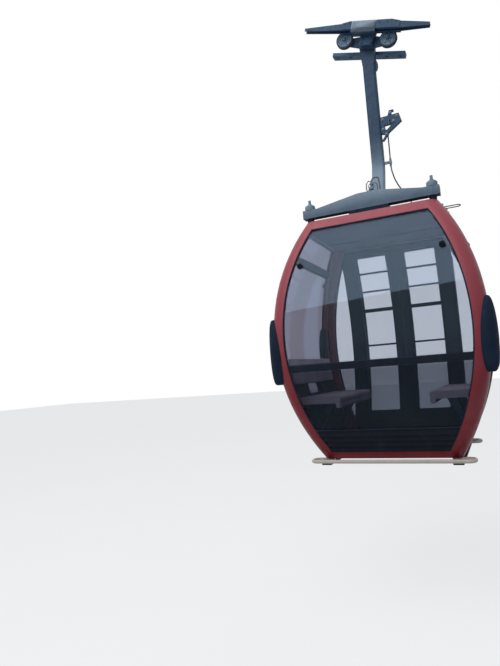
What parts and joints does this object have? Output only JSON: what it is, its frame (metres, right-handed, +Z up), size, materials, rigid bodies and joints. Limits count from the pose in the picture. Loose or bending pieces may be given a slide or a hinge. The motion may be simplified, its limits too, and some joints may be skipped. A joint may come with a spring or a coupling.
{
  "type": "cable car cabin",
  "caption": "Enclosed ropeway cabin with barrel-shaped sides, tinted glazing and sliding doors, hung by a bent arm from a detachable rope grip with running wheels.",
  "frame": {"origin": "centre of the haul rope at the middle of the grip's jaws", "axes": "+X along the line of travel, toward the low side of the sloping rope; +Y toward the doors; +Z up"},
  "size_m": [1.9223, 1.78, 4.4939],
  "materials": {
    "red_paint": "weathered satin",
    "black_paint": "satin",
    "door_paint": "satin",
    "roof_skin": "weathered",
    "lining": "matte",
    "floor_mat": "matte",
    "tinted_glass": "tinted",
    "black_plastic": "matte",
    "rubber": "matte",
    "seat_shell": "satin",
    "cream_paint": "satin",
    "beam_paint": "weathered",
    "hanger_paint": "weathered satin",
    "grip_paint": "weathered satin",
    "jaw_plate": "satin",
    "galvanised": "galvanised",
    "steel": "machined",
    "cable_sheath": "matte",
    "wheel_hub": "painted",
    "wheel_tyre": "matte"
  },
  "bodies": {
    "grip": {"fixed_jaw": "grip_paint", "grip_housing": "grip_paint", "jaw_pin": "steel", "wheel_carrier": "grip_paint", "pivot_pin": "steel", "friction_plate": "grip_paint"},
    "moving_jaw": {"moving_jaw": "jaw_plate"},
    "wheel_left": {"wheel_hub_left": "wheel_hub", "wheel_tyre_left": "wheel_tyre"},
    "wheel_right": {"wheel_hub_right": "wheel_hub", "wheel_tyre_right": "wheel_tyre"},
    "cabin": {"frame_near": "red_paint", "frame_far": "red_paint", "roof_panel": "roof_skin", "ceiling_panel": "lining", "floor_pan": "galvanised", "floor_panel": "floor_mat", "end_panels": "black_paint", "end_rails": "black_paint", "end_windows": "tinted_glass", "near_windows": "tinted_glass", "near_bar": "black_paint", "louvre_panel": "black_paint", "window_knobs": "black_plastic", "door_jambs": "black_paint", "door_header": "black_paint", "door_sill": "black_paint", "far_side_windows": "tinted_glass", "door_track_cover": "black_paint", "door_rod": "steel", "door_guide": "galvanised", "benches": "seat_shell", "bench_struts": "galvanised", "bumper_pads": "rubber", "base_ring": "cream_paint", "base_bars": "black_paint", "roof_beams": "beam_paint", "roof_cross_member": "beam_paint", "roof_mounts": "rubber", "hanger_arm": "hanger_paint", "release_bracket": "grip_paint", "cable_clip": "steel", "release_cable": "cable_sheath", "cable_gland": "black_plastic", "lock_handle": "steel", "end_loop": "steel"},
    "door_right": {"door_leaf_right": "door_paint", "door_glass_right": "tinted_glass", "door_nosing_right": "rubber"},
    "door_left": {"door_leaf_left": "door_paint", "door_glass_left": "tinted_glass", "door_nosing_left": "rubber"}
  },
  "joints": [
    {"name": "hanger_swing", "type": "hinge", "parent": "grip", "child": "cabin", "pos_m": [-0.01792, 0.213, -0.06248], "axis": [0, 1, 0], "range_deg": [-35, 35]},
    {"name": "wheel_left_spin", "type": "hinge", "parent": "grip", "child": "wheel_left", "pos_m": [-0.22513, 0.102, 0.00942], "axis": [0, 1, 0], "continuous": true},
    {"name": "wheel_right_spin", "type": "hinge", "parent": "grip", "child": "wheel_right", "pos_m": [0.21898, 0.102, -0.11793], "axis": [0, 1, 0], "continuous": true},
    {"name": "jaw_open", "type": "hinge", "parent": "grip", "child": "moving_jaw", "pos_m": [0.01323, -0.024, 0.04614], "axis": [-0.9613, 0, 0.2756], "range_deg": [0, 22], "stiffness_Nm_per_rad": 60, "springref_deg": -17.19},
    {"name": "door_right_slide", "type": "slide", "parent": "cabin", "child": "door_right", "axis": [1, 0, 0], "range_m": [0, 0.42]},
    {"name": "door_left_slide", "type": "slide", "parent": "cabin", "child": "door_left", "axis": [-1, 0, 0], "range_m": [0, 0.42]}
  ],
  "couplings": [
    {"joint": "door_left_slide", "follows": "door_right_slide", "ratio": 1}
  ]
}
